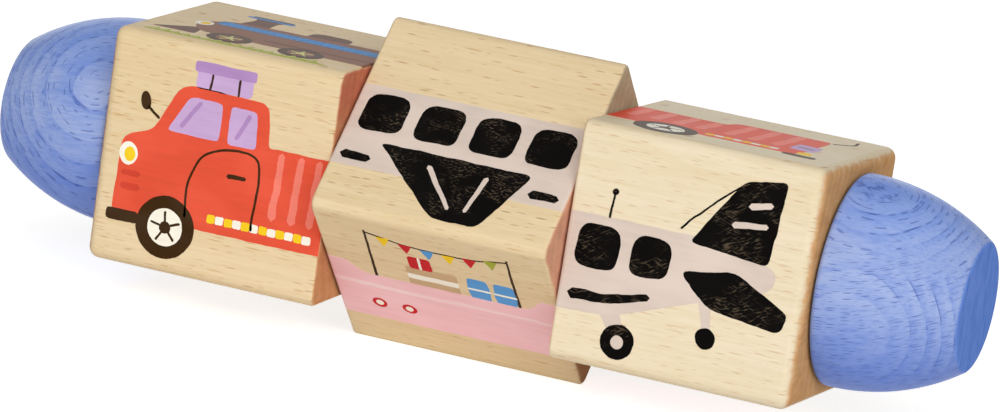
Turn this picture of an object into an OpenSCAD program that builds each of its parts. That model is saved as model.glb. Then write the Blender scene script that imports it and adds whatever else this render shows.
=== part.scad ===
// Wooden rotating puzzle: three square blocks turn on one dowel between two turned knobs.
// +X runs along the dowel towards the right knob, +Y away from the viewer, +Z up.
// The origin is on the dowel's axis at the middle of its length.

/* [Blocks] */
// Side of each block's square section
block_w = 48; // [40:1:60]
// Length of each block along the dowel
block_len = 50; // [40:1:70]
// Rounding of a block's four long edges
long_edge_r = 2.4; // [1:0.1:4]
// Rounding of the end edges where two blocks meet
inner_edge_r = 0.8; // [0.4:0.1:2]
// Rounding of the end edges beside a knob
outer_edge_r = 2.2; // [0.4:0.1:4]

/* [Dowel] */
// Diameter of the dowel that carries everything
dowel_d = 12; // [8:0.5:18]
// Chamfer at each end of the dowel
dowel_chamfer = 1; // [0.4:0.1:2]
// Clearance between the dowel and a block's bore, on the radius
running_gap = 0.08; // [0.02:0.01:0.1]
// Chamfer at each mouth of a bore or socket
mouth_chamfer = 0.8; // [0.3:0.1:2]
// Gap along the dowel between neighbouring pieces
end_gap = 0.4; // [0.3:0.1:0.8]

/* [Knobs] */
// Diameter of a knob where it faces its block
knob_base_d = 42.6; // [36:0.2:46]
// Diameter of the flat at a knob's free end, before its rim is rounded
knob_flat_d = 25.8; // [22:0.2:32]
// Length of a knob along the dowel
knob_len = 27.4; // [24:0.2:36]
// Outward lean of a knob's side as it leaves the base, in degrees
knob_lean = 2.5; // [0:0.5:8]
// Rounding between a knob's base and its side
knob_base_r = 1.2; // [0.4:0.1:2]
// Rounding between a knob's side and its flat
knob_rim_r = 1.6; // [0.4:0.1:3]
// Depth of the socket that holds the dowel's end
socket_depth = 17; // [10:0.5:18]
// Glue line around the dowel in its socket, on the radius
glue_gap = 0.04; // [0.02:0.01:0.1]
// Space left for glue beyond the dowel's end
socket_end_gap = 0.3; // [0.2:0.1:0.8]
// Full angle of the drill point at the bottom of a socket, in degrees
drill_point = 118; // [90:2:150]

/* [Pose] */
// Turn of the left block about the dowel, in degrees
left_turn_angle = 0; // [-45:0.5:45]
// Turn of the middle block about the dowel, in degrees
middle_turn_angle = 46.5; // [0:0.5:90]
// Turn of the right block about the dowel, in degrees
right_turn_angle = -2.5; // [-45:0.5:45]

/* [Hidden] */
beech = [0.91, 0.80, 0.63];
blue_stain = [0.41, 0.53, 0.82];
// Facets of round shapes
$fn = 96;
// Straight steps in a knob's side, and in each rounding of its outline
side_steps = 18;
rounding_steps = 8;
// Overrun of a cut past the face that it opens
cut = 1;

pitch = block_len + end_gap;
// Distance from the origin to the base of a knob
knob_x = 1.5 * block_len + 2 * end_gap;
dowel_half = knob_x + socket_depth - socket_end_gap;
bore_r = dowel_d / 2 + running_gap;
socket_r = dowel_d / 2 + glue_gap;

// Rectangle with its middle at the origin and one rounding at each end of its length.
module end_rounded_rectangle(length, width, low_r, high_r) {
    translate([-length / 2, -width / 2]) {
        translate([low_r, 0]) square([length - low_r - high_r, width]);
        translate([0, low_r]) square([length / 2, width - 2 * low_r]);
        translate([length / 2, high_r]) square([length / 2, width - 2 * high_r]);
        for (y = [low_r, width - low_r]) translate([low_r, y]) circle(r = low_r);
        for (y = [high_r, width - high_r]) translate([length - high_r, y]) circle(r = high_r);
    }
}

// Round post along X with its middle at the origin, for one long edge of a block.
module corner_post(length, low_r, high_r) {
    rotate([0, 90, 0])
        rotate_extrude()
            intersection() {
                rotate([0, 0, 90]) end_rounded_rectangle(length, 2 * long_edge_r, low_r, high_r);
                translate([0, -length / 2]) square([long_edge_r, length]);
            }
}

// A square bar along X, rounded on all its edges, with its middle at the origin.
// Two crossed slabs carry the four sides, and a post in each corner rounds a long edge.
// An end edge is never rounded more than the long edges that it meets.
module rounded_bar(asked_low_r, asked_high_r) {
    low_r = min(asked_low_r, long_edge_r);
    high_r = min(asked_high_r, long_edge_r);
    side = block_w / 2 - long_edge_r;
    for (turn = [0, 90])
        rotate([turn, 0, 0])
            linear_extrude(2 * side, center = true) end_rounded_rectangle(block_len, block_w, low_r, high_r);
    for (y = [-side, side], z = [-side, side])
        translate([0, y, z]) corner_post(block_len, low_r, high_r);
}

// A hole along X from x = 0 to x = depth, with a chamfered mouth at x = 0.
module chamfered_hole(r, depth) {
    rotate([0, 90, 0]) {
        translate([0, 0, -cut]) cylinder(r = r, h = depth + cut);
        translate([0, 0, -cut])
            cylinder(r1 = r + mouth_chamfer + cut, r2 = r, h = mouth_chamfer + cut);
    }
}

// One block, turned about the dowel: place is -1, 0 or 1 from left to right.
module block(place, turn, low_r, high_r) {
    translate([place * pitch, 0, 0])
        rotate([turn, 0, 0])
            difference() {
                rounded_bar(low_r, high_r);
                for (end = [0, 180])
                    rotate([0, end, 0])
                        translate([-block_len / 2, 0, 0]) chamfered_hole(bore_r, block_len / 2 + cut);
            }
}

// The knob's side is one arc. It starts at the base with the lean and ends at the flat.
base_r = knob_base_d / 2;
flat_r = knob_flat_d / 2;
chord = norm([knob_len, base_r - flat_r]);
chord_fall = atan2(base_r - flat_r, knob_len);
side_r = chord / 2 / sin(chord_fall + knob_lean);
side_centre = [side_r * sin(knob_lean), base_r - side_r * cos(knob_lean)];

// Centre of a small arc of radius r that touches the side from within at depth x.
function rounding_centre(x, r) =
    [x, side_centre.y + sqrt(pow(side_r - r, 2) - pow(x - side_centre.x, 2))];

// Direction in which the side touches such an arc, in degrees from straight outward.
function touch_angle(centre) = atan2(centre.x - side_centre.x, centre.y - side_centre.y);

// Points of an arc from one such direction to another; skip leaves out its first and last few.
function arc(centre, r, from, to, steps, skip) =
    [for (i = [skip : steps - skip])
        let (a = from + (to - from) * i / steps) centre + r * [sin(a), cos(a)]];

base_centre = rounding_centre(knob_base_r, knob_base_r);
rim_centre = rounding_centre(knob_len - knob_rim_r, knob_rim_r);
base_touch = touch_angle(base_centre);
rim_touch = touch_angle(rim_centre);

// Half outline of a knob: x along the dowel from its base, y the radius.
knob_outline = concat(
    [[0, 0]],
    arc(base_centre, knob_base_r, -90, base_touch, rounding_steps, 0),
    arc(side_centre, side_r, base_touch, rim_touch, side_steps, 1),
    arc(rim_centre, knob_rim_r, rim_touch, 90, rounding_steps, 0),
    [[knob_len, 0]]
);

// One turned knob along X with its base at x = 0 and a blind socket for the dowel.
module knob() {
    point_len = socket_r / tan(drill_point / 2);
    difference() {
        rotate([0, 90, 0])
            rotate_extrude()
                polygon([for (p = knob_outline) [p.y, p.x]]);
        chamfered_hole(socket_r, socket_depth);
        translate([socket_depth, 0, 0])
            rotate([0, 90, 0]) cylinder(r1 = socket_r, r2 = 0, h = point_len);
    }
}

module left_block() {
    color(beech) block(-1, left_turn_angle, outer_edge_r, inner_edge_r);
}

module middle_block() {
    color(beech) block(0, middle_turn_angle, inner_edge_r, inner_edge_r);
}

module right_block() {
    color(beech) block(1, right_turn_angle, inner_edge_r, outer_edge_r);
}

module left_knob() {
    color(blue_stain) mirror([1, 0, 0]) translate([knob_x, 0, 0]) knob();
}

module right_knob() {
    color(blue_stain) translate([knob_x, 0, 0]) knob();
}

module axle_dowel() {
    r = dowel_d / 2;
    straight = 2 * (dowel_half - dowel_chamfer);
    color(beech)
        rotate([0, 90, 0]) {
            cylinder(r = r, h = straight, center = true);
            for (end = [0, 180])
                rotate([end, 0, 0])
                    translate([0, 0, straight / 2])
                        cylinder(r1 = r, r2 = r - dowel_chamfer, h = dowel_chamfer);
        }
}

left_block();
middle_block();
right_block();
left_knob();
right_knob();
axle_dowel();
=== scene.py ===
# Wooden rotating puzzle: finishes, painted pictures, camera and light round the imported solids.
import math

import bmesh
import bpy
from mathutils import Matrix, Quaternion, Vector, noise


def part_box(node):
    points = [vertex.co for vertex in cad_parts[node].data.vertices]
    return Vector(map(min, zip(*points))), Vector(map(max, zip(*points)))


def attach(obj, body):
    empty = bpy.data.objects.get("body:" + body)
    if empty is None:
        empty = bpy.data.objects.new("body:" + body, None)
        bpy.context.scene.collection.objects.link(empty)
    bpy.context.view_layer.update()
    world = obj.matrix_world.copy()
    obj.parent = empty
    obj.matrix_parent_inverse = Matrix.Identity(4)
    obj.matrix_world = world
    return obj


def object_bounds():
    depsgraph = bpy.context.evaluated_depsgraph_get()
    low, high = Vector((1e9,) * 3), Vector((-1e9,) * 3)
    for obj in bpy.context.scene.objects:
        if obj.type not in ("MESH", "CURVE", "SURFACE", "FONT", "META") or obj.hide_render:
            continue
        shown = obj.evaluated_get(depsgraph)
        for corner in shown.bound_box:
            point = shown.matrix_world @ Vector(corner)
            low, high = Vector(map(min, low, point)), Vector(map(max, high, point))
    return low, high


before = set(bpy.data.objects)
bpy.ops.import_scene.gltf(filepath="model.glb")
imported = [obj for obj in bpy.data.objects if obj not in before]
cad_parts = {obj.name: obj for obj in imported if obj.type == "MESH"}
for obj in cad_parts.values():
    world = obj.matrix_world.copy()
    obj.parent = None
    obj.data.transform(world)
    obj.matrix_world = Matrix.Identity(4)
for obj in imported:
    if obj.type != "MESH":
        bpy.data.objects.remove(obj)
cad_low, cad_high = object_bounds()

MM = 0.001


def srgb(red, green, blue):
    """A colour given as 0 to 255 on screen, as the linear values that shaders take."""
    def linear(value):
        share = value / 255
        return share / 12.92 if share <= 0.04045 else ((share + 0.055) / 1.055) ** 2.4
    return (linear(red), linear(green), linear(blue), 1.0)


# Colours of the end grain, and of the deeper tone in it: at the bottom of a block's end,
# halfway up, and at its top. On the left block the end is redder at its top as painted shade
# beside the middle block. On the middle block it is darker at the bottom as painted shade, pinker
# halfway up as painted reflected light, and greyer at its top as painted shade.
ORANGE_END = {"end": [srgb(228, 176, 120)] * 3, "end_deep": [srgb(194, 136, 82)] * 3}
# Painted shade: this end is redder towards its top
RED_END_PAINTED_SHADE = {
    "end": [srgb(209, 156, 110), srgb(211, 149, 108), srgb(214, 129, 100)],
    "end_deep": [srgb(178, 119, 75), srgb(180, 112, 72), srgb(182, 99, 67)],
}
# Painted light and shade: this end is darker at the bottom, pinker halfway up and greyer at its top
MIXED_END_PAINTED_LIGHT = {
    "end": [srgb(178, 136, 96), srgb(230, 172, 144), srgb(205, 194, 162)],
    "end_deep": [srgb(152, 108, 72), srgb(198, 140, 112), srgb(172, 156, 124)],
}
# Colours of the bare sides: warm on the left and middle blocks, and paler on the right one
WARM_SIDE = {"light": srgb(236, 214, 176), "deep": srgb(226, 201, 157)}
PALE_SIDE = {"light": srgb(238, 224, 196), "deep": srgb(229, 210, 174)}
LEFT_CUT = {**WARM_SIDE, **RED_END_PAINTED_SHADE}
MIDDLE_CUT = {**WARM_SIDE, **MIXED_END_PAINTED_LIGHT}
RIGHT_CUT = {**PALE_SIDE, **ORANGE_END}
WARM_FLECK = srgb(196, 142, 84)
GREY_FLECK = srgb(170, 132, 88)

# Colours of the stained wood: its light and deep tones, its marks, the deeper, more saturated blues
# painted low down and high up on the knob as painted shade, and its end grain
BLUE_LIGHT = srgb(165, 181, 222)
BLUE_DEEP = srgb(110, 139, 211)
BLUE_FLECK = srgb(50, 80, 168)
BLUE_PAINTED_SHADE_LOW = srgb(82, 124, 224)
BLUE_PAINTED_SHADE_HIGH = srgb(116, 160, 252)
BLUE_END = srgb(119, 155, 235)
BLUE_END_DARK = srgb(87, 130, 218)

# Colours of the paints
PAINTS = {
    "coral": srgb(228, 86, 60),
    "coral_light": srgb(241, 128, 110),
    "coral_deep": srgb(212, 72, 52),
    "lilac": srgb(202, 170, 212),
    "lilac_deep": srgb(178, 140, 192),
    "umber": srgb(60, 38, 14),
    "cream": srgb(250, 243, 226),
    "yellow": srgb(249, 206, 36),
    "brown": srgb(128, 84, 62),
    "brown_deep": srgb(92, 58, 42),
    "blue": srgb(44, 124, 192),
    "blue_light": srgb(92, 156, 214),
    "green": srgb(164, 170, 56),
    "green_light": srgb(216, 216, 140),
    "pale": srgb(217, 200, 187),
    "black": srgb(8, 6, 5),
    "pink": srgb(249, 199, 203),
    "pink_light": srgb(252, 217, 219),
    "red": srgb(200, 32, 40),
    "tan": srgb(205, 172, 132),
}
# How far a paint's edge wanders, in millimetres
PLAIN_EDGE = 0.14
PAINT_EDGE = {"coral_light": 0.26, "black": 0.2, "blue_light": 0.22, "green_light": 0.12, "pink_light": 0.26}
# How strongly dry scratches show in a paint, and their colour
DRYNESS = {"black": 0.55}
DRY_SCRATCH = srgb(104, 90, 72)


class Shader:
    """One material's node tree, with short calls for the nodes that the finishes share."""

    def __init__(self, name):
        self.material = bpy.data.materials.new(name)
        self.material.use_nodes = True
        self.tree = self.material.node_tree
        self.surface = self.tree.nodes["Principled BSDF"]
        places = self.node("TexCoord", {}).outputs
        self.position = places["Object"]
        self.normal = places["Normal"]

    def node(self, kind, inputs, **settings):
        """A new node with its settings, and with its inputs linked or set."""
        made = self.tree.nodes.new("ShaderNode" + kind)
        for name, value in settings.items():
            setattr(made, name, value)
        for name, value in inputs.items():
            self.feed(made.inputs[name], value)
        return made

    def feed(self, socket, value):
        """Links a socket to another node's output, or sets it to a plain value."""
        if isinstance(value, bpy.types.NodeSocket):
            self.tree.links.new(value, socket)
        else:
            socket.default_value = value

    def math(self, operation, first, second=0.0, third=0.0, clamp=False):
        inputs = {0: first, 1: second, 2: third}
        return self.node("Math", inputs, operation=operation, use_clamp=clamp).outputs[0]

    def times(self, first, second):
        return self.math("MULTIPLY", first, second)

    def plus(self, first, second, clamp=False):
        return self.math("ADD", first, second, clamp=clamp)

    def minus(self, first, second):
        return self.math("SUBTRACT", first, second)

    def over(self, first, second):
        return self.math("DIVIDE", first, second)

    def absolute(self, value):
        return self.math("ABSOLUTE", value)

    def line(self, value, slope, start):
        """The value times the slope, plus the start."""
        return self.math("MULTIPLY_ADD", value, slope, start)

    def hypot(self, first, second):
        """Length of a line that goes the first distance one way and the second at right angles."""
        return self.math("SQRT", self.plus(self.math("POWER", first, 2), self.math("POWER", second, 2)))

    def weighed(self, *parts):
        """Sum of (pattern, weight) pairs, held between 0 and 1."""
        total = 0.0
        for pattern, weight in parts:
            total = self.plus(total, self.times(pattern, weight), clamp=True)
        return total

    def step(self, value, low, high):
        """0 below low, 1 above high, and a smooth rise between."""
        inputs = {"Value": value, "From Min": low, "From Max": high}
        return self.node("MapRange", inputs, interpolation_type="SMOOTHSTEP").outputs["Result"]

    def hump(self, value, low, high, end):
        """Rises smoothly from 0 at low to 1 at high, and falls from 1 at end back to 0 at 1."""
        return self.times(self.step(value, low, high), self.step(value, 1.0, end))

    def mix(self, share, first, second):
        """Blend of two colours. The node's colour sockets have the numbers 6, 7 and 2."""
        return self.node("Mix", {"Factor": share, 6: first, 7: second}, data_type="RGBA").outputs[2]

    def tint(self, colour, pattern, strength, other):
        """The colour, turned towards the other one where the pattern is, at the given strength."""
        return self.mix(self.times(pattern, strength), colour, other)

    def stretched(self, lengths, shift=(0, 0, 0), turn=(0, 0, 0), vector=None):
        """Position counted in cells of the given lengths in millimetres, after a turn and a shift."""
        turn = [math.radians(angle) for angle in turn]
        inputs = {"Vector": vector or self.position, "Rotation": turn}
        turned = self.node("VectorRotate", inputs, rotation_type="EULER_XYZ").outputs[0]
        scale = [1 / (MM * length) for length in lengths]
        return self.node("Mapping", {"Vector": turned, "Scale": scale, "Location": shift}).outputs[0]

    def noise(self, vector, detail=2.0, roughness=0.5):
        inputs = {"Vector": vector, "Scale": 1.0, "Detail": detail, "Roughness": roughness}
        return self.node("TexNoise", inputs).outputs[0]

    def grain(self, lengths, shift=(0, 0, 0), turn=(0, 0, 0), detail=2.0, roughness=0.5):
        """Noise with cells of the given lengths in millimetres."""
        return self.noise(self.stretched(lengths, shift, turn), detail, roughness)

    def rays(self, cell, half, blank, shift, radial, tilt, vector=None):
        """The rays of beech: thin lenses along the grain, on edge, that face the pith.

        The angle radial points to the pith. There is at most one ray in each cell of the given
        millimetres, its half lengths are shares of the cell, and the share of cells given by
        blank stays empty. Gives how strong a ray is, and its random colour.
        """
        faintest = 0.35
        place = self.stretched(cell, shift, (-radial, tilt, 0), vector)
        lens = self.node("TexVoronoi", {"Vector": place, "Scale": 1.0}).outputs
        offset = self.vector("SUBTRACT", place, lens["Position"])
        reach = self.vector("LENGTH", self.vector("DIVIDE", offset, half), output="Value")
        chance, _, vigour = self.separate(lens["Color"])
        size = self.step(chance, blank - 0.6, 1.0)
        drawn = self.math("GREATER_THAN", chance, blank)
        strength = self.times(drawn, self.plus(faintest, self.times(vigour, 1 - faintest)))
        soft = self.minus(1.0, self.step(self.over(reach, self.plus(size, 0.001)), 0.3, 1.0))
        return self.times(soft, strength), lens["Color"]

    def combine(self, x, y, z):
        return self.node("CombineXYZ", {"X": x, "Y": y, "Z": z}).outputs[0]

    def separate(self, vector):
        return self.node("SeparateXYZ", {0: vector}).outputs

    def vector(self, operation, first, second=(0, 0, 0), output="Vector"):
        return self.node("VectorMath", {0: first, 1: second}, operation=operation).outputs[output]

    def bump(self, height, distance, strength):
        inputs = {"Height": height, "Distance": distance, "Strength": strength}
        self.feed(self.surface.inputs["Normal"], self.node("Bump", inputs).outputs[0])

    def colour(self, value):
        self.feed(self.surface.inputs["Base Color"], value)

    def rough(self, value):
        self.feed(self.surface.inputs["Roughness"], value)

    def shine(self, level):
        """How strongly the surface mirrors light: 0.5 is bare plastic, less is a duller finish."""
        self.surface.inputs["Specular IOR Level"].default_value = level


def growth_rings(wood, radial, distance, spacing, shift):
    """Saw-tooth from 0 to 1 across each growth ring. The pith runs along X at an angle and distance."""
    wander = 3.0
    waver = wood.grain((40, 11, 11), shift)
    _, y, z = wood.separate(wood.stretched((1, 1, 1)))
    across = wood.minus(y, distance * math.cos(math.radians(radial)))
    up = wood.minus(z, distance * math.sin(math.radians(radial)))
    pushed = wood.plus(wood.hypot(across, up), wood.times(waver, wander))
    return wood.math("FRACT", wood.over(pushed, spacing))


def end_facing(wood, low, high, ragged=0.0):
    """1 where the surface faces along the dowel, so that the end grain shows, and 0 on the sides."""
    facing = wood.absolute(wood.separate(wood.normal)[0])
    return wood.step(wood.plus(facing, ragged), low, high)


def radial_facing(wood, radial):
    """1 where a side faces the pith at the angle radial, and 0 at right angles to that."""
    turn = math.radians(radial)
    pith = (0, math.cos(turn), math.sin(turn))
    return wood.absolute(wood.vector("DOT_PRODUCT", wood.normal, pith, output="Value"))


def end_with_painted_light(wood, colours):
    """A colour of the end grain that changes from the bottom of a block's end to its top, as painted light
    and shade.
    """
    low, middle, high = colours
    height = wood.separate(wood.position)[2]
    upper = wood.mix(wood.step(height, 9 * MM, 20 * MM), middle, high)
    return wood.mix(wood.step(height, -12 * MM, -22 * MM), upper, low)


def bare_side(wood, cut, late, streak, shift):
    """Colour of bare beech along the grain, without the ray flecks."""
    fibre = wood.grain((5, 0.24, 0.24), shift, roughness=0.6)
    cloud = wood.grain((50, 13, 13), shift)
    share = wood.weighed(
        (late, 0.25),
        (wood.step(streak, 0.36, 0.68), 0.55),
        (wood.step(cloud, 0.35, 0.7), 0.25),
        (wood.step(fibre, 0.35, 0.7), 0.3),
    )
    return wood.mix(share, cut["light"], cut["deep"])


def bare_end(wood, cut, late, radial, shift):
    """Colour of the end grain of bare beech, with its rays fanned out from the pith."""
    pores = wood.grain((9, 0.35, 0.35), shift, detail=3.0, roughness=0.7)
    fan = wood.grain((9, 4.0, 0.5), shift, (-radial - 14, 0, 0), detail=3.0, roughness=0.65)
    blot = wood.grain((9, 6, 3), shift)
    # The end colours change with height as painted light and shade on the left and middle blocks
    deep = end_with_painted_light(wood, cut["end_deep"])
    end = end_with_painted_light(wood, cut["end"])
    for pattern, strength in (
        (late, 0.22),
        (wood.step(fan, 0.4, 0.72), 0.3),
        (wood.step(blot, 0.4, 0.7), 0.35),
        (wood.step(pores, 0.5, 0.8), 0.2),
    ):
        end = wood.tint(end, pattern, strength, deep)
    return end


def ray_flecks(wood, side, radial, shift, contrast):
    """Lays small and large ray flecks over a side's colour. Also gives the small ones."""
    edge = end_facing(wood, 0.03, 0.5)
    small, chance = wood.rays((3.6, 9, 0.8), (0.46, 0.46, 0.21), 0.1, shift, radial, 0.8)
    large_shift = (shift[0] + 3, shift[1], 7)
    large, _ = wood.rays((6.5, 12, 1.9), (0.44, 0.45, 0.11), 0.28, large_shift, radial, -0.6)
    fleck = wood.mix(wood.step(wood.separate(chance)[1], 0.35, 0.85), WARM_FLECK, GREY_FLECK)
    side = wood.tint(side, small, wood.line(edge, 0.3, 0.75 * contrast), fleck)
    faint = wood.line(radial_facing(wood, radial), 0.5 * contrast, 0.16 * contrast)
    return wood.tint(side, large, faint, WARM_FLECK), small


def wood_surface(wood, dents, streak, ends, roughness, shine):
    """Fine relief and gloss. The roughness is what sides, streaks and end grain each add."""
    sides, streaks, end_grain = roughness
    relief = wood.plus(wood.times(dents, -0.6), wood.times(streak, 0.5))
    wood.bump(relief, 0.02 * MM, 0.7)
    wood.rough(wood.line(ends, end_grain, wood.line(streak, streaks, sides)))
    wood.shine(shine)


def beech(name, cut, radial, shift, contrast=1.0):
    """Pale beech under matt varnish. Contrast is how plainly its ray flecks show."""
    wood = Shader(name)
    ring = growth_rings(wood, radial, 80, 3.1, shift)
    late = wood.hump(ring, 0.35, 0.9, 0.94)
    streak = wood.grain((22, 0.7, 0.7), shift, detail=4.0, roughness=0.65)
    side = bare_side(wood, cut, late, streak, shift)
    side, small = ray_flecks(wood, side, radial, shift, contrast)
    ragged = wood.grain((4, 2.4, 2.4), shift, roughness=0.6)
    ends = end_facing(wood, 0.55, 1.0, wood.line(ragged, 0.5, -0.25))
    wood.colour(wood.mix(ends, side, bare_end(wood, cut, late, radial, shift)))
    wood_surface(wood, small, streak, ends, (0.42, 0.16, 0.3), 0.035)
    return wood.material


def round_pole(wood, x, angle):
    """Distance in millimetres from a pole at x along the dowel and an angle above the front."""
    turn = math.radians(angle)
    places = wood.separate(wood.stretched((1, 1, 1)))
    along = wood.minus(places[0], x)
    upward = wood.times(places[2], math.cos(turn))
    return wood.hypot(along, wood.line(places[1], math.sin(turn), upward))


def pole_field(wood, reaches, ring_area):
    """What the rings round the poles follow: squared distance, in square millimetres.

    Also gives 1 where the second pole is the nearer one, and 1 away from where their rings meet.
    """
    squares = [wood.math("POWER", reach, 2) for reach in reaches]
    if len(squares) == 1:
        return squares[0], 1.0, 1.0
    field = wood.math("SMOOTH_MIN", *squares, 1.5 * ring_area)
    lead = wood.minus(*squares)
    return field, wood.step(lead, -60, 40), wood.step(wood.absolute(lead), 0, 200)


def stained_rings(wood, field, ring_area, phase, shift):
    """The slow darkening across each ring, and the thin broken line at its end."""
    waver = wood.grain((24, 9, 9), shift)
    grown = wood.line(waver, 0.4, wood.over(field, ring_area))
    ring = wood.minus(1.0, wood.math("FRACT", wood.plus(grown, phase)))
    late = wood.hump(ring, 0.2, 0.95, 0.985)
    line = wood.hump(ring, 0.87, 0.95, 0.98)
    broken = wood.grain((3.5, 2.6, 2.6), shift, detail=1.5)
    return late, wood.times(line, wood.step(broken, 0.45, 0.62))


def arc_dashes(wood, reach, gap, shift):
    """Short dark dashes along circles that lie gap apart, broken in another way on each circle."""
    waver = wood.grain((12, 5, 5), shift, detail=1.0)
    count = wood.line(waver, 1.2, wood.over(reach, gap))
    circle = wood.math("FLOOR", count)
    inside = wood.absolute(wood.minus(wood.math("FRACT", count), 0.5))
    thin = wood.step(inside, 0.17, 0.05)
    jump = wood.combine(wood.times(circle, 7.7), 0.0, 0.0)
    drawn = wood.noise(wood.vector("ADD", wood.stretched((2.2, 2.2, 2.2)), jump), detail=0.0)
    return wood.times(thin, wood.step(drawn, 0.54, 0.66))


def grain_dashes(wood, base, bend, shift):
    """Short dashes along the grain. With bend, the grain rises as it leaves the knob's base."""
    x = wood.separate(wood.position)[0]
    rise = wood.math("POWER", wood.minus(x, base), 2)
    bent = wood.combine(0.0, 0.0, wood.times(rise, -bend / MM))
    bent = wood.vector("ADD", wood.position, bent)
    return wood.rays((3.1, 9, 0.58), (0.5, 3.0, 0.2), 0.14, shift, 10, 4, bent)[0]


def stained_beech(name, poles, ring_area, phase, shift, bend):
    """Blue-stained beech: rings round each pole and many short dashes show through the stain.

    Round the second pole the dashes follow the rings, and elsewhere they lie along the grain.
    A deeper, more saturated blue is painted low down and high up on the knob as painted shade.
    """
    wood = Shader(name)
    reaches = [round_pole(wood, *pole) for pole in poles]
    field, arced, apart = pole_field(wood, reaches, ring_area)
    late, line = stained_rings(wood, field, ring_area, phase, shift)
    clear = wood.math("MAXIMUM", wood.step(field, 50, 260), arced)
    streak = wood.grain((16, 0.55, 0.55), shift, (0, 4, 0), detail=4.0, roughness=0.65)
    cloud = wood.grain((14, 9, 9), shift)
    share = wood.weighed(
        (wood.times(late, apart), wood.line(clear, 0.16, 0.18)),
        (wood.step(streak, 0.35, 0.7), 0.42),
        (wood.step(cloud, 0.4, 0.7), 0.25),
    )
    side = wood.mix(share, BLUE_LIGHT, BLUE_DEEP)
    height = wood.separate(wood.position)[2]
    # Painted shade: a deeper blue low down and a more saturated blue high up on the knob
    side = wood.tint(side, wood.step(height, 4 * MM, -19 * MM), 0.6, BLUE_PAINTED_SHADE_LOW)
    side = wood.tint(side, wood.step(height, 8 * MM, 20 * MM), 0.35, BLUE_PAINTED_SHADE_HIGH)
    side = wood.tint(side, wood.times(wood.times(line, apart), clear), 0.55, BLUE_FLECK)

    inner_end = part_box(name)[0 if poles[0][0] > 0 else 1].x
    straight = wood.times(grain_dashes(wood, inner_end, bend, shift), wood.line(arced, -0.75, 1.0))
    arcs = wood.times(arc_dashes(wood, reaches[-1], 1.25, shift), arced)
    side = wood.tint(side, straight, 0.95, BLUE_FLECK)
    side = wood.tint(side, arcs, 0.55, BLUE_FLECK)
    if len(poles) > 1:
        blotch = wood.grain((2.3, 1.1, 1.1), shift, (0, 0, 35), detail=1.0)
        near_pole = wood.step(reaches[-1], 6.5, 3)
        side = wood.tint(side, wood.times(wood.step(blotch, 0.5, 0.66), near_pole), 0.6, BLUE_FLECK)

    fan = wood.grain((9, 0.45, 7.0), shift, detail=3.0, roughness=0.6)
    end = wood.mix(wood.step(fan, 0.35, 0.7), BLUE_END, BLUE_END_DARK)
    ends = end_facing(wood, 0.72, 0.97)
    wood.colour(wood.mix(ends, side, end))
    wood_surface(wood, straight, streak, ends, (0.3, 0.12, 0.4), 0.04)
    return wood.material


def finish_wood():
    """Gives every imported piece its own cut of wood."""
    left_pole = (-79.9, 29.8)
    right_poles = [(83, -18), (81.5, 75)]
    cuts = {
        "left_block": beech("beech_left", LEFT_CUT, 8, (0, 0, 0)),
        "middle_block": beech("beech_middle", MIDDLE_CUT, 2, (11, 4, 2)),
        "right_block": beech("beech_right", RIGHT_CUT, -6, (23, 9, 5), contrast=0.75),
        "axle_dowel": beech("beech_dowel", RIGHT_CUT, 20, (31, 2, 8)),
        "left_knob": stained_beech(
            "left_knob", [left_pole], ring_area=105, phase=0.55, shift=(3, 8, 1), bend=0
        ),
        "right_knob": stained_beech(
            "right_knob", right_poles, ring_area=80, phase=-0.05, shift=(17, 3, 6), bend=0.0056
        ),
    }
    for name, material in cuts.items():
        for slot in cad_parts[name].material_slots:
            slot.material = material


def paint(name, colour, dry):
    """Matt paint with faint brush streaks over the wood's grain, and scratches where it is dry."""
    shader = Shader("paint_" + name)
    streak = shader.grain((13, 0.9, 0.9), detail=3.0, roughness=0.6)
    cloud = shader.grain((15, 8, 8), (3, 1, 7))
    lift = 0.002 if dry else 0.015
    lighter = [min(1.0, 1.12 * c + lift) for c in colour[:3]] + [1.0]
    deeper = [0.86 * c for c in colour[:3]] + [1.0]
    shade = shader.tint(colour, shader.step(streak, 0.3, 0.75), 0.5, deeper)
    shade = shader.tint(shade, shader.step(cloud, 0.4, 0.7), 0.55, lighter)
    if dry:
        patch = shader.step(shader.grain((6, 4.5, 4.5), (9, 2, 4), detail=1.5), 0.4, 0.62)
        hatched = shader.grain((4.2, 0.3, 0.3), (1, 5, 2), (0, 30, 8), detail=1.5)
        crossed = shader.grain((3.6, 0.26, 0.26), (4, 2, 9), (0, -16, 5), detail=1.5)
        scratch = shader.math("MAXIMUM", shader.step(hatched, 0.55, 0.68), shader.step(crossed, 0.6, 0.7))
        shade = shader.tint(shade, shader.times(scratch, patch), dry, DRY_SCRATCH)
    shader.colour(shade)
    grain = shader.grain((30, 0.5, 0.5), detail=3.0, roughness=0.65)
    shader.bump(shader.plus(streak, shader.times(grain, 0.8)), 0.012 * MM, 0.6)
    shader.rough(shader.plus(0.46, shader.times(cloud, 0.14)))
    shader.shine(0.03 if dry else 0.05)
    return shader.material


paints = {name: paint(name, colour, DRYNESS.get(name, 0.0)) for name, colour in PAINTS.items()}


# Thin films of paint. A picture is drawn in millimetres on a block's side: u from the block's
# left end, v from the side's lower edge. What joins up from block to block keeps to one band.
BLOCK = 50
LOW = 10.5
HIGH = 30
# Rounded corners of the band where a picture joins the next block's
JOIN_ROUND = 0.1
TOP_LEFT = (0, HIGH, JOIN_ROUND)
LOW_LEFT = (0, LOW, JOIN_ROUND)
TOP_RIGHT = (BLOCK, HIGH, JOIN_ROUND)
LOW_RIGHT = (BLOCK, LOW, JOIN_ROUND)
# Top of the lowest film above the wood, rise of each film laid on others, and underside of all
FILM_BASE = 0.022
FILM_STEP = 0.012
FILM_SUNK = -0.06
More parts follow.
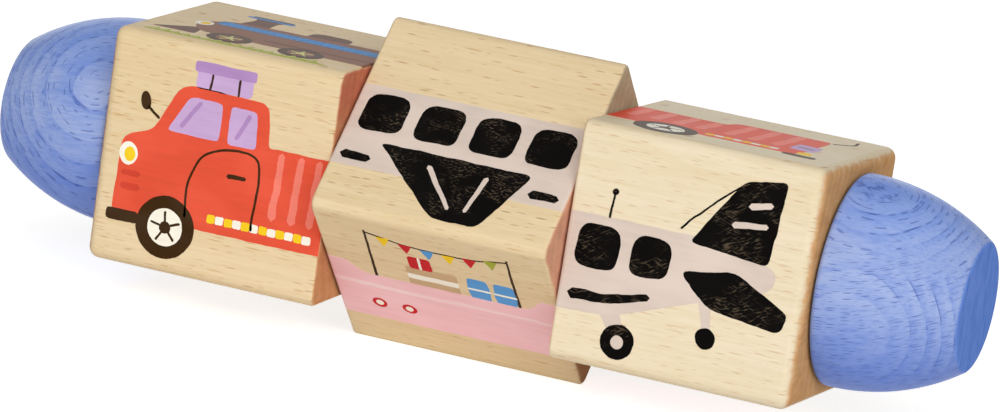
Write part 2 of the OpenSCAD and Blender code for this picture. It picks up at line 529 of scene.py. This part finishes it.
# Rounding of a block's end edges, the share of it that is painted, and the cuts through a film
# that let it bend there
END_ROUND = 0.8
END_WRAP = 0.95
END_CUTS = 5
# Side 0 of a block is turned by this many degrees, or up to 90 more
FRONT_LOW = -20

# noise_vector draws its offsets from the clock until it is seeded
noise.seed_set(5)


def add(name, data):
    """A new object that shows the data."""
    made = bpy.data.objects.new(name, data)
    bpy.context.scene.collection.objects.link(made)
    return made


class Side:
    """One painted side of a block: turns (u, v, height) in millimetres into a place in the frame."""

    def __init__(self, block, number):
        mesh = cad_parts[block].data
        sides = [face for face in mesh.polygons if abs(face.normal.x) < 0.01]
        largest = max(sides, key=lambda face: face.area).normal
        turn = math.degrees(math.atan2(-largest.z, -largest.y))
        turn = (turn - FRONT_LOW) % 90 + FRONT_LOW
        spin = Matrix.Rotation(math.radians(turn - 90 * number), 3, "X")
        self.out = spin @ Vector((0, -1, 0))
        self.up = spin @ Vector((0, 0, 1))
        self.half = max(vertex.co.dot(self.out) for vertex in mesh.vertices)
        low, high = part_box(block)
        self.left = low.x
        self.length = (high.x - low.x) / MM
        self.wide = 2 * self.half / MM

    def place(self, u, v, height):
        """The place in the frame. At the block's ends the film bends round the rounded edge."""
        nearer = min(u, self.length - u)
        along, lift = u, height
        if nearer < END_ROUND:
            angle = (END_ROUND - nearer) / END_ROUND
            reach = END_ROUND - (END_ROUND + height) * math.sin(angle)
            along = reach if u < self.length / 2 else self.length - reach
            lift = (END_ROUND + height) * math.cos(angle) - END_ROUND
        return (
            Vector((self.left + along * MM, 0, 0))
            + self.up * (v - self.wide / 2) * MM
            + self.out * (self.half + lift * MM)
        )


def shape(*corners):
    """Closed outline through (u, v, rounding) corners."""
    longest_step = 0.5
    most = 0.48
    outline = []
    points = [Vector(corner[:2]) for corner in corners]
    for i, corner in enumerate(corners):
        here = points[i]
        before = points[i - 1] - here
        after = points[(i + 1) % len(points)] - here
        cut = min(corner[2], most * before.length, most * after.length)
        start = here + before.normalized() * cut
        end = here + after.normalized() * cut
        steps = max(1, math.ceil(cut / longest_step))
        for step in range(steps + 1):
            t = step / steps
            outline.append(start * (1 - t) ** 2 + here * 2 * t * (1 - t) + end * t ** 2)
    return outline


def box(u0, v0, u1, v1, rounding=0.4):
    return shape((u0, v0, rounding), (u1, v0, rounding), (u1, v1, rounding), (u0, v1, rounding))


def oval(u, v, wide, high=None, turn=0):
    """Closed oval from its middle and its two half sizes."""
    high = high or wide
    turn = math.radians(turn)
    steps = max(14, round(7 * math.sqrt(max(wide, high))) * 2)
    outline = []
    for step in range(steps):
        angle = 2 * math.pi * step / steps
        x, y = wide * math.cos(angle), high * math.sin(angle)
        outline.append(Vector((
            u + x * math.cos(turn) - y * math.sin(turn),
            v + x * math.sin(turn) + y * math.cos(turn),
        )))
    return outline


def curve(points):
    """Open smooth curve through the points."""
    longest_step = 0.6
    points = [Vector(point) for point in points]
    padded = [2 * points[0] - points[1], *points, 2 * points[-1] - points[-2]]
    path = []
    for a, b, c, d in zip(padded, padded[1:], padded[2:], padded[3:]):
        steps = max(2, math.ceil((c - b).length / longest_step))
        for i in range(steps):
            t = i / steps
            path.append(0.5 * (
                2 * b + (c - a) * t + (2 * a - 5 * b + 4 * c - d) * t ** 2
                + (3 * b - a - 3 * c + d) * t ** 3
            ))
    return path + [points[-1]]


def stroke(points, start_width, end_width=None):
    """Outline of one brush stroke along the points, with pointed ends."""
    point_length = 0.45
    end_width = start_width if end_width is None else end_width
    path = curve(points)
    sides = ([], [])
    for i, here in enumerate(path):
        ahead = (path[min(i + 1, len(path) - 1)] - path[max(i - 1, 0)]).normalized()
        across = Vector((-ahead.y, ahead.x))
        half = 0.5 * (start_width + (end_width - start_width) * i / (len(path) - 1))
        sides[0].append(here + across * half)
        sides[1].append(here - across * half)
    first, last = path[0] - path[1], path[-1] - path[-2]
    start_cap = [path[0] + first.normalized() * start_width * point_length]
    end_cap = [path[-1] + last.normalized() * end_width * point_length]
    return sides[0] + end_cap + sides[1][::-1] + start_cap


def hand_cut(outline, rough, seed):
    """Adds points to an outline and lets them wander as a painted edge does."""
    longest_step = 0.7
    coarse_size = 3.1
    fine_size = 0.8
    fine_share = 0.45
    dense = []
    for here, after in zip(outline, outline[1:] + outline[:1]):
        steps = max(1, math.ceil((after - here).length / longest_step))
        dense += [here.lerp(after, i / steps) for i in range(steps)]
    wandered = []
    for point in dense:
        coarse = noise.noise_vector(Vector((point.x / coarse_size, point.y / coarse_size, seed * 7.3)))
        fine = noise.noise_vector(Vector((point.x / fine_size, point.y / fine_size, seed * 3.7 + 50)))
        wander = coarse * rough + fine * rough * fine_share
        wandered.append(point + Vector((wander.x, wander.y)))
    return wandered


def film(side, outline, level, rough, seed):
    """Closed thin solid of one patch of paint, cut off at the block's ends."""
    flat = bmesh.new()
    corners = [flat.verts.new((point.x, point.y, 0)) for point in hand_cut(outline, rough, seed)]
    bmesh.ops.triangulate(flat, faces=[flat.faces.new(corners)])
    for i in range(END_CUTS):
        inset = END_ROUND * (1 - END_WRAP * (END_CUTS - 1 - i) / (END_CUTS - 1))
        for cut, outward in ((inset, -1), (side.length - inset, 1)):
            bmesh.ops.bisect_plane(
                flat, geom=flat.verts[:] + flat.edges[:] + flat.faces[:], dist=1e-5,
                plane_co=(cut, 0, 0), plane_no=(outward, 0, 0), clear_outer=i == 0,
            )
    solid = bmesh.new()
    top = FILM_BASE + FILM_STEP * level
    upper = {v: solid.verts.new(side.place(v.co.x, v.co.y, top)) for v in flat.verts}
    lower = {v: solid.verts.new(side.place(v.co.x, v.co.y, FILM_SUNK)) for v in flat.verts}
    for face in flat.faces:
        solid.faces.new([upper[v] for v in face.verts])
        solid.faces.new([lower[v] for v in reversed(face.verts)])
    for edge in flat.edges:
        if edge.is_boundary:
            a, b = edge.verts
            solid.faces.new([upper[a], upper[b], lower[b], lower[a]])
    bmesh.ops.recalc_face_normals(solid, faces=solid.faces)
    flat.free()
    return solid


def print_picture(block, number, name, layers):
    """Builds one side's picture. Each layer of (paint, outline) pairs lies on those before it."""
    side = Side(block, number)
    mesh = bpy.data.meshes.new(name)
    whole = bmesh.new()
    slots = []
    seed = 40 * number
    for level, layer in enumerate(layers):
        for colour, outline in layer:
            seed += 1
            if colour not in slots:
                slots.append(colour)
                mesh.materials.append(paints[colour])
            patch = film(side, outline, level, PAINT_EDGE.get(colour, PLAIN_EDGE), seed)
            for face in patch.faces:
                face.material_index = slots.index(colour)
            part = bpy.data.meshes.new("part")
            patch.to_mesh(part)
            patch.free()
            whole.from_mesh(part)
            bpy.data.meshes.remove(part)
    whole.to_mesh(mesh)
    whole.free()
    piece = add(name, mesh)
    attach(piece, block)


def band():
    """A band that joins up with the next blocks' at both ends."""
    return box(0, LOW, BLOCK, HIGH, 0.2)


def spaced(u0, u1, pitch):
    """Places from u0 on, one pitch apart, while a whole pitch fits before u1."""
    return [u0 + i * pitch for i in range(int((u1 - u0) / pitch))]


def line(colour, width, *points):
    """One brush stroke of the same width all along."""
    return colour, stroke(points, width)


def slats(positions, low, high, wide=1.7, lean=0.6):
    """Light upright strokes on the truck's side."""
    return [("coral_light", stroke([(u, low), (u + lean, high)], wide, wide * 0.85)) for u in positions]


def dashes(u0, u1):
    """The truck's stripe of yellow and cream dashes by turns."""
    low, high = 12.4, 14.1
    pitch = 1.9
    pieces = []
    for i, u in enumerate(spaced(u0, u1, pitch)):
        colour = "yellow" if i % 2 == 0 else "cream"
        pieces.append((colour, box(u, low, u + pitch * 0.96, high, 0.25)))
    return pieces


# Colours of a wheel's tyre, rim and hub
TRUCK_WHEEL = ("umber", "cream", "umber")
TRAIN_WHEEL = ("umber", "brown", "green_light")


def wheels(places, radius, tyre, rim, hub):
    """Three layers for the wheels at these places: tyres, rims, and hubs with spokes."""
    spokes = 5
    first_spoke = 0.4
    hubs = []
    for u, v in places:
        hubs.append((hub, oval(u, v, 0.2 * radius)))
        for i in range(spokes):
            angle = first_spoke + i * math.tau / spokes
            x, y = math.cos(angle), math.sin(angle)
            near, far = 0.2 * radius, 0.5 * radius
            hubs.append(line(hub, 0.5, (u + near * x, v + near * y), (u + far * x, v + far * y)))
    tyres = [(tyre, oval(u, v, radius)) for u, v in places]
    rims = [(rim, oval(u, v, 0.6 * radius)) for u, v in places]
    return tyres, rims, hubs


def hatch(u0, u1, low, high):
    """Leaning light strokes along the train's blue stripe."""
    return [line("blue_light", 0.5, (u, low), (u + 1.1, high)) for u in spaced(u0, u1, 1.5)]


def grass(u0, u1, base, seed):
    """A jagged tuft of grass, and the light lines on its blades."""
    corners = [(u1 + 1.5, base, 0.2), (u0 - 1.5, base + 0.6, 0.2)]
    lines = []
    for i, u in enumerate(spaced(u0, u1, 2.3)):
        tip = base + 3.4 + 1.6 * noise.noise(Vector((i * 1.7, seed, 0)))
        corners += [(u + 0.9, tip, 0.1), (u + 1.5, base + 1.5, 0.1)]
        lines.append(("green_light", stroke([(u + 0.2, base + 1.1), (u + 0.9, tip - 0.6)], 0.35, 0.2)))
    return [("green", shape(*corners))], lines


def waves(u0, u1):
    """A row of low blue waves."""
    v = 7.4
    return [
        ("blue_light", stroke([(u, v + 0.5), (u + 1.7, v - 0.6), (u + 4, v + 0.9), (u + 5.6, v)], 1.1, 0.7))
        for u in spaced(u0, u1, 6.4)
    ]


def discs(colour, positions, v, radius):
    """A row of round spots, such as portholes."""
    return [(colour, oval(u, v, radius)) for u in positions]


def truck_front():
    """The cab, with a trunk on its roof."""
    cab = shape(
        TOP_RIGHT, (36.5, HIGH, 0.6), (35.6, 38.6, 2.2), (16.4, 39.2, 3.2),
        (11.2, 28.6, 2.0), (4.9, 26.6, 2.6), (4.3, LOW, 1.4), LOW_RIGHT,
    )
    window = shape((14.2, 29.2, 1.0), (18.4, 36.9, 1.4), (25.6, 36.7, 0.8), (25.6, 29, 0.8))
    rear_window = shape((27.4, 29, 0.8), (27.3, 36.7, 0.8), (33.2, 36.5, 1.0), (33.8, 29, 0.8))
    tyre, rim, hub = wheels([(16.5, 9.6)], 6.4, *TRUCK_WHEEL)
    door = [(20.4, 12.6), (20.3, 20), (24.2, 26.6), (34.4, 26.9), (34.9, 12.8)]
    trunk = box(19.2, 38.9, 31.5, 43.4, 0.9)
    return [
        [("coral", cab), ("lilac", trunk)],
        [
            ("lilac", window), ("lilac", rear_window), ("umber", box(3.3, 8.9, 10.4, 11.4, 0.8)),
            ("coral_deep", box(5.6, 15.6, 9.8, 17.0, 0.5)), ("coral_deep", box(5.4, 18.4, 9.7, 19.7, 0.5)),
            *slats((39, 43.2, 47.2), 16.3, 29),
            ("lilac_deep", box(18.6, 42.2, 32.1, 44.4, 0.6)),
        ],
        [
            line("lilac_deep", 0.9, (17.2, 30.6), (20.8, 36)), *tyre,
            line("lilac_deep", 0.9, (29.3, 30.5), (31.6, 35.4)),
            ("umber", stroke(door, 0.5)), ("umber", stroke([(28.7, 22.6), (32.2, 22.8)], 1.0, 0.8)),
            ("cream", oval(6.6, 22.9, 2.0, 2.4)), *dashes(25.2, 49.4),
            line("umber", 0.5, (22.4, 38.9), (22.6, 42.1)),
            line("umber", 0.5, (28.6, 38.9), (28.5, 42.1)),
            line("umber", 0.55, (12.1, 31.2), (9.7, 33.1)), ("umber", oval(8.9, 34.2, 1.1, 1.9, 12)),
        ],
        [*rim, ("yellow", oval(6.9, 22.8, 1.2, 1.5))],
        hub,
    ]


def truck_middle():
    """The load bed, with two bundles and a ball."""
    tyre, rim, hub = wheels([(33.5, 9.2)], 6.2, *TRUCK_WHEEL)
    load = [
        ("lilac", shape((6, 29.5, 0.5), (7.5, 38.5, 1.6), (17.2, 38.9, 1.6), (18.6, 29.5, 0.5))),
        ("lilac_deep", shape((20.3, 29.5, 0.5), (20.2, 35.2, 1.2), (30.5, 35.4, 1.2), (30.9, 29.5, 0.5))),
        ("yellow", oval(37.4, 33.1, 4.2, 4.0)),
    ]
    return [
        load,
        [("coral", band())],
        [
            *slats((2.7, 7.2, 11.7, 16.2, 20.7, 25.2, 29.7, 34.2, 38.7, 43.2, 47.7), 17.6, 28.6),
            line("umber", 0.5, (0, 15.7), (16, 15.9), (30, 15.6), (50, 15.8)),
            line("umber", 0.5, (7.6, 34.4), (17.6, 34.7)), line("umber", 0.5, (25.4, 29.9), (25.4, 35)),
        ],
        [*dashes(0.4, 25.6), *tyre, *dashes(41, 49.6)],
        rim,
        hub,
    ]


def truck_rear():
    """The tailboard, with its lamp and aerial."""
    tyre, rim, hub = wheels([(13.5, 9.4)], 6.4, *TRUCK_WHEEL)
    body = shape(
        TOP_LEFT, LOW_LEFT, (39.5, LOW, 1.2), (40.4, 16.5, 1), (40, 34.8, 1.8),
        (20.5, 34.6, 2.0), (19.2, HIGH, 0.8),
    )
    return [
        [("coral", body), ("umber", box(37.6, 8.8, 44.4, 11.2, 0.8))],
        [
            *slats((3.2, 8, 12.8, 17.6), 18.2, 28.8, 2.3, 0.5),
            *slats((23.6, 28.6, 33.6), 18.2, 33.2, 2.3, 0.5),
            ("lilac", box(36.4, 17.2, 41.6, 24.6, 0.8)), ("yellow", oval(41, 13.6, 1.5, 1.7)),
            line("umber", 0.6, (40.6, 34), (43.6, 37.2), (43.4, 41.4)),
        ],
        [*dashes(20.6, 36.2), *tyre, line("umber", 0.6, (37.4, 20.9), (40.6, 21))],
        rim,
        hub,
    ]


def train_front():
    """The boiler, with its lamp and plough."""
    boiler = shape(
        TOP_RIGHT, (14, 28.6, 5.5), (8.6, 20.4, 5), (12.4, 12.4, 3), (20, LOW + 0.6, 1), LOW_RIGHT,
    )
    chimney = shape(
        (15.2, 27, 0.2), (16.1, 35, 0.8), (13.6, 38.6, 0.8),
        (23.2, 38.9, 0.8), (20.8, 35, 0.8), (21.4, 27, 0.2),
    )
    dome = shape((29.4, 28.5, 0.3), (29.6, 34.2, 3.4), (38.2, 34.4, 3.4), (38.6, 28.5, 0.3))
    plough = shape((4.4, 8.2, 0.4), (13.8, 8, 0.4), (12.6, 16.4, 0.8))
    tyres, rims, hubs = wheels([(20.6, 10.4), (36.4, 10.2)], 4.7, *TRAIN_WHEEL)
    tuft, blades = grass(6, 44, 3.1, 2)
    return [
        [("brown_deep", chimney), ("brown_deep", dome), ("brown_deep", plough)],
        [("brown", boiler), line("blue", 1.4, (13.6, 36.9), (23.1, 37))],
        [
            ("blue", shape((12.6, 26.4, 0.4), (12.2, 22.4, 0.4), (49.95, 22.0, 0.1), (49.95, 26.4, 0.1))),
            *tyres, ("cream", oval(10.6, 20.6, 1.8, 2.4)),
            line("brown_deep", 0.8, (26, 15.4), (40, 15.2), (49.9, 15.4)),
        ],
        [*hatch(13.6, 48.6, 22.6, 26), *rims, ("yellow", oval(10.9, 20.6, 1.0, 1.4)), *tuft],
        [*hubs, *blades],
    ]


def train_middle():
    """A carriage with four windows."""
    tyres, rims, hubs = wheels([(12.4, 9.8), (37.6, 9.8)], 4.7, *TRAIN_WHEEL)
    roof = shape((3.6, 28.5, 0.4), (3.4, 34.6, 1.6), (46.4, 34.9, 1.6), (46.6, 28.5, 0.4))
    tuft, blades = grass(6, 42, 3.0, 8)
    panes = [("cream", box(u, 25.3, u + 6.4, 31.6, 1.0)) for u in (7.2, 16.6, 26, 35.4)]
    return [
        [("brown_deep", roof)],
        [("brown", band()), ("blue", box(2.4, 33.8, 47.4, 36.6, 1.2))],
        [
            *panes, ("blue", shape((0, 22.6, 0.1), (0, 18.8, 0.1), (50, 18.6, 0.1), (50, 22.4, 0.1))),
            *tyres,
        ],
        [
            *hatch(1, 48.2, 19, 22.1), *rims, *tuft,
            ("green", oval(10.2, 28.2, 1.3, 2.2)), ("green", oval(29.4, 28.2, 1.3, 2.2)),
        ],
        [*hubs, *blades],
    ]


def train_rear():
    """The tender, with a heap of coal."""
    tyres, rims, hubs = wheels([(11.6, 9.8), (31.4, 9.8)], 4.7, *TRAIN_WHEEL)
    body = shape(TOP_LEFT, LOW_LEFT, (38.8, LOW, 0.8), (40.2, 26.4, 1.6), (36.6, HIGH, 1.6))
    coal = shape(
        (5.4, 29, 0.4), (8.4, 33.6, 1.6), (13.6, 35.6, 1.8),
        (19.4, 33.8, 1.4), (25.4, 36.2, 1.8), (33.4, 29, 0.6),
    )
    tuft, blades = grass(4, 40, 3.0, 5)
    return [
        [("umber", coal), ("brown_deep", box(38, 12.4, 44.2, 14.8, 0.8))],
        [
            ("brown", body),
            ("brown_deep", oval(14.4, 32.4, 1.7, 1.3)), ("brown_deep", oval(24.8, 33, 1.9, 1.4)),
        ],
        [
            ("blue", shape((0, 26.6, 0.1), (0, 22.6, 0.1), (39.4, 22.4, 0.6), (39.2, 26.6, 0.6))),
            *tyres, ("cream", oval(36.2, 18.4, 1.4, 1.7)),
        ],
        [*hatch(1, 37.8, 23, 26), *rims, *tuft],
        [*hubs, *blades],
    ]


def boat_bow():
    """The bow, with a pennant and a cabin."""
    hull = shape(
        TOP_RIGHT, (26, 29.2, 3), (5.2, 33.4, 0.8), (8.8, 20.5, 4), (15.4, LOW, 3), LOW_RIGHT,
    )
    cabin = shape((24.6, 28, 0.3), (25.8, 39.4, 1.4), (41.6, 39.6, 1.4), (41.6, 28, 0.3))
    portholes = (20.6, 29.4, 38.2)
    return [
        [("cream", cabin), line("umber", 0.7, (13, 28), (12.6, 42.6)), *waves(8, 47)],
        [
            ("pink", hull), ("red", box(23.6, 38.4, 43, 41.6, 1.0)), *discs("blue", (30.2, 37.3), 34, 2.2),
            ("red", shape((13, 42.4, 0.2), (13, 36.4, 0.2), (21.2, 39, 0.5))),
        ],
        [
            line("pink_light", 1.2, (9.5, 28.9), (26, 26.2), (49.9, 26.7)),
            *discs("cream", portholes, 18.6, 2.3),
        ],
        discs("blue", portholes, 18.6, 1.3),
    ]


def boat_middle():
    """The deck, with a crate, barrels and pennants."""
    hull = shape(
        TOP_LEFT, LOW_LEFT, LOW_RIGHT, TOP_RIGHT, (46, HIGH, 0.8),
        (43.4, 26.2, 2.4), (7.4, 26.4, 2.4), (4, HIGH, 0.8),
    )
    barrel_starts = (31, 36.6)
    barrels = [
        ("blue_light", shape(
            (u, 25.6, 0.3), (u - 0.5, 29.2, 1.4), (u, 33, 0.7),
            (u + 4, 33, 0.7), (u + 4.5, 29.2, 1.4), (u + 4, 25.6, 0.3),
        ))
        for u in barrel_starts
    ]
    crate = ("tan", box(17.6, 25.6, 28.6, 32.6, 0.4))
    pennants = []
    for i, colour in enumerate(("yellow", "red", "blue_light", "yellow", "red", "green")):
        u = 12.8 + i * 4.6
        v = 39.6 + 0.22 * (i - 2.5) ** 2
        pennants.append((colour, shape((u, v, 0.15), (u + 3, v + 0.1, 0.15), (u + 1.5, v - 3, 0.2))))
    lights = (9, 15.5)
    return [
        [
            *barrels, crate, ("umber", stroke([(10.4, 26), (10.6, 42.4)], 0.65, 0.5)),
            ("umber", stroke([(41.2, 26), (41, 42.4)], 0.65, 0.5)),
        ],
        [
            ("pink", hull), ("red", box(18.6, 32.2, 23.6, 36.4, 0.5)),
            ("cream", box(17.6, 28.4, 28.6, 30.1, 0.2)),
            *[line("cream", 0.6, (u - 0.3, 29.3), (u + 4.3, 29.3)) for u in barrel_starts],
            line("umber", 0.4, (10.6, 41.9), (18, 40.2), (26, 39.7), (34, 40.2), (41, 41.9)),
        ],
        [
            *pennants, ("pink_light", stroke([(0.1, 22.6), (16, 22.2), (34, 22.5), (49.9, 22.2)], 1.3, 1.0)),
            line("cream", 0.6, (21.1, 32.4), (21.1, 36.2)),
            *discs("red", lights, 16.2, 1.6),
        ],
        discs("cream", lights, 16.2, 0.85),
    ]


def boat_stern():
    """The stern, with a deckhouse and a flag."""
    hull = shape(
        TOP_LEFT, LOW_LEFT, (33.6, LOW, 3.2), (39.6, 17.6, 4), (42.6, 33.2, 1.0), (24, 29.4, 3),
    )
    portholes = (9.4, 18.2, 27)
    return [
        [
            line("umber", 0.65, (36.6, 30), (38.8, 42.6)), *waves(4, 44),
            ("cream", shape((6.4, 29, 0.3), (6.4, 38, 1.2), (19.6, 37.4, 1.2), (21.4, 29, 0.3))),
        ],
        [
            ("pink", hull), ("red", box(5.2, 37.2, 21, 40, 1)), ("blue", oval(13, 33.7, 2.1)),
            ("yellow", shape((38.6, 42.4, 0.2), (37.6, 36.8, 0.2), (45.4, 38.6, 0.4))),
        ],
        [
            line("pink_light", 1.2, (0.1, 26.6), (18, 26.2), (40, 28.4)),
            *discs("cream", portholes, 18.6, 2.3),
        ],
        discs("blue", portholes, 18.6, 1.3),
    ]


def plane_nose():
    """The propeller and the cockpit."""
    fuselage = shape(
        TOP_RIGHT, (24, HIGH, 5), (8.4, 25.6, 5), (6.6, 16.4, 4.5), (16, LOW, 5), LOW_RIGHT,
    )
    cockpit = shape((15.4, 24.4, 1.4), (21.4, 29.2, 2.4), (30.4, 29.2, 1.6), (29.2, 23.6, 1.6))
    return [
        [
            ("pale", fuselage), ("black", stroke([(5.4, 9), (4.6, 20.4), (5.6, 32)], 1.8, 1.6)),
            line("pale", 1.8, (27.5, 11), (25.5, 6.4)),
        ],
        [
            ("black", cockpit),
            ("black", shape((6.2, 17.6, 1), (6.2, 23.6, 1), (10.4, 24, 2), (11, 17.4, 2))),
            ("black", box(36.6, 20.2, 43.4, 27.4, 2.2)), ("black", oval(25, 5.8, 2.9)),
            ("black", shape((31, 15.4, 1), (50, 15.8, 0.1), (50, 12.4, 0.1), (35, 12.6, 1))),
        ],
        [("pale", oval(25, 5.8, 1.1)), line("pale", 0.9, (23.6, 24.4), (24.8, 28.4))],
    ]


def plane_middle():
    """Four windows over the wing."""
    wing = shape((8.6, 17.2, 1.6), (41.4, 17.0, 1.6), (34.6, 2.6, 1.8), (24.6, 2.7, 1.8))
    panes = [
        ("black", shape((u, 19.4, 2.4), (u + 0.3, 28.2, 3), (u + 9.4, 28.4, 3), (u + 9.3, 19.6, 2.4)))
        for u in (2.2, 14.1, 26, 37.9)
    ]
    return [
        [("pale", band())],
        [*panes, ("black", wing)],
        [
            ("pale", stroke([(20.4, 14), (27.4, 5.6)], 1.1, 0.8)),
            ("pale", stroke([(32.6, 14), (31, 5.8)], 1.1, 0.8)),
            ("black", stroke([(42.6, 12.8), (47.6, 12.9)], 2.0, 1.7)),
            ("black", stroke([(2.4, 13), (7.4, 12.9)], 2.0, 1.7)),
        ],
    ]


def plane_rear():
    """The tail, with its fin and one stabiliser."""
    fuselage = shape(
        TOP_LEFT, LOW_LEFT, (11, LOW + 0.2, 5),
        (43.2, 22.6, 2.2), (43.8, 26.4, 2.4), (31, HIGH, 4),
    )
    fin = shape((25.2, 28.6, 1.4), (34.2, 42.4, 2.0), (43.2, 44, 1.4), (41.6, 27, 1.4))
    stabiliser = shape((24, 22.6, 2), (35.4, 24.6, 1.8), (47.2, 18.6, 1.2), (46, 14.6, 1.2), (31, 16.4, 2))
    front_strut = shape((8.4, 12, 0.4), (13.4, 12, 0.4), (15.2, 6.4, 0.6), (12.8, 6.4, 0.6))
    back_strut = shape((28.6, 18.6, 0.4), (31.2, 19.4, 0.4), (32.2, 11.6, 0.6), (30.6, 11.6, 0.6))
    return [
        [("pale", front_strut), ("pale", back_strut)],
        [("pale", fuselage), ("black", oval(13.8, 6.2, 3.5)), ("black", oval(31.4, 10.6, 2.1))],
        [
            ("black", fin), ("black", stabiliser), ("pale", oval(13.8, 6.2, 1.3)),
            ("black", shape((2.4, 19.4, 2.4), (2.6, 28.2, 3), (11.4, 28.2, 3), (11.2, 19.6, 2.4))),
            ("black", shape((13.8, 19.7, 2.4), (14, 28, 3), (22.2, 27.8, 3), (21.8, 20.2, 2.4))),
            ("black", stroke([(3, 13.9), (10, 14.1), (18.4, 16)], 2.2, 1.4)),
        ],
        [
            ("pale", stroke([(36.4, 38), (40.4, 38.8)], 1.3, 1.1)),
            ("pale", stroke([(33.6, 33.8), (40, 34.6)], 1.3, 1.1)),
            ("black", stroke([(23, 31), (28.4, 36.6), (35.2, 42.4)], 0.45, 0.35)),
            ("black", stroke([(8.4, 30), (8.6, 34.6)], 0.5, 0.4)), ("black", oval(8.7, 35.2, 0.7)),
        ],
    ]


def print_all():
    """Paints the four sides of each block, from its front on over its top."""
    pictures = {
        "left_block": (truck_front, train_front, boat_bow, plane_nose),
        "middle_block": (boat_middle, plane_middle, truck_middle, train_middle),
        "right_block": (plane_rear, truck_rear, train_rear, boat_stern),
    }
    for block, painters in pictures.items():
        for number, painter in enumerate(painters):
            print_picture(block, number, "print_" + painter.__name__, painter())


def make_camera():
    """The photograph's view: from the right and a little above, far off, and tipped sideways."""
    azimuth, elevation, roll = (math.radians(angle) for angle in (19.73, 11.70, 8.23))
    distance = 1.1824
    aim = Vector((0.0022, 0.0006, -0.0008))
    focal_pixels = 5907
    frame_pixels = 1000
    data = bpy.data.cameras.new("camera")
    data.sensor_width = 36.0
    data.lens = data.sensor_width * focal_pixels / frame_pixels
    camera = add("camera", data)
    back = towards(azimuth, elevation)
    camera.location = aim + back * distance
    camera.rotation_mode = "QUATERNION"
    camera.rotation_quaternion = (-back).to_track_quat("-Z", "Y") @ Quaternion((0, 0, 1), roll)
    bpy.context.scene.camera = camera


LAMP_DISTANCE = 2.2
# Name, degrees to the right and above, size in metres and power in watts
LAMPS = (
    ("front_left", 1, 23, 0.8, 13),
    ("front_right", 47, 21, 0.9, 11.5),
    ("front_high", 24, 45, 1.4, 10.5),
    ("front", 24, 26, 1.0, 3.5),
    ("low_front", 20, 2, 1.0, 3.6),
    ("left", -50, 15, 1.2, 2.5),
    ("back", 205, 10, 1.6, 11),
)


def towards(azimuth, elevation):
    """Unit vector to the right of the front and above it, by two angles in radians."""
    return Vector((
        math.sin(azimuth) * math.cos(elevation),
        -math.cos(azimuth) * math.cos(elevation),
        math.sin(elevation),
    ))


def area_lamp(name, azimuth, elevation, size, power):
    """A soft square lamp that looks at the origin."""
    back = towards(math.radians(azimuth), math.radians(elevation))
    data = bpy.data.lights.new(name, "AREA")
    data.size = size
    data.energy = power
    lamp = add(name, data)
    lamp.location = back * LAMP_DISTANCE
    lamp.rotation_mode = "QUATERNION"
    lamp.rotation_quaternion = (-back).to_track_quat("-Z", "Y")
    lamp.visible_camera = False


def seen_by_eye(tree):
    """1 for what the camera sees, mirrored or not, and 0 for light on a surface."""
    path = tree.nodes.new("ShaderNodeLightPath")
    most = path.outputs["Is Camera Ray"]
    for name in ("Is Glossy Ray", "Is Transmission Ray"):
        larger = tree.nodes.new("ShaderNodeMath")
        larger.operation = "MAXIMUM"
        tree.links.new(most, larger.inputs[0])
        tree.links.new(path.outputs[name], larger.inputs[1])
        most = larger.outputs[0]
    return most


def make_world():
    """Even white surroundings: dim as light, white to the eye."""
    dim = 0.16
    world = bpy.data.worlds.new("surroundings")
    world.use_nodes = True
    bpy.context.scene.world = world
    tree = world.node_tree
    background = tree.nodes["Background"]
    background.inputs["Color"].default_value = (1, 1, 1, 1)
    strength = tree.nodes.new("ShaderNodeMapRange")
    strength.inputs["To Min"].default_value = dim
    strength.inputs["To Max"].default_value = 1.0
    tree.links.new(seen_by_eye(tree), strength.inputs["Value"])
    tree.links.new(strength.outputs["Result"], background.inputs["Strength"])


def make_floor():
    """A plain pale floor under the lowest edge. It shows white and keeps the object's shadow."""
    half = 4.0
    near, far = 0.25, 1.3
    glow_near, more_far = 0.58, 0.35
    glow_as_light = 0.12
    mesh = bpy.data.meshes.new("floor")
    corners = [(-half, -half), (half, -half), (half, half), (-half, half)]
    mesh.from_pydata([(x, y, cad_low.z) for x, y in corners], [], [(0, 1, 2, 3)])
    floor = add("floor", mesh)
    shader = Shader("floor_white")
    shader.colour(srgb(232, 231, 229))
    shader.rough(0.9)
    shader.shine(0.0)
    shader.surface.inputs["Emission Color"].default_value = (1, 1, 1, 1)
    away = shader.vector("LENGTH", shader.position, output="Value")
    white = shader.line(shader.step(away, near, far), more_far, glow_near)
    glow = shader.line(seen_by_eye(shader.tree), white, glow_as_light)
    shader.feed(shader.surface.inputs["Emission Strength"], glow)
    mesh.materials.append(shader.material)


finish_wood()
print_all()
make_camera()
make_world()
make_floor()
for lamp in LAMPS:
    area_lamp(*lamp)

bpy.context.scene.view_settings.view_transform = "Standard"
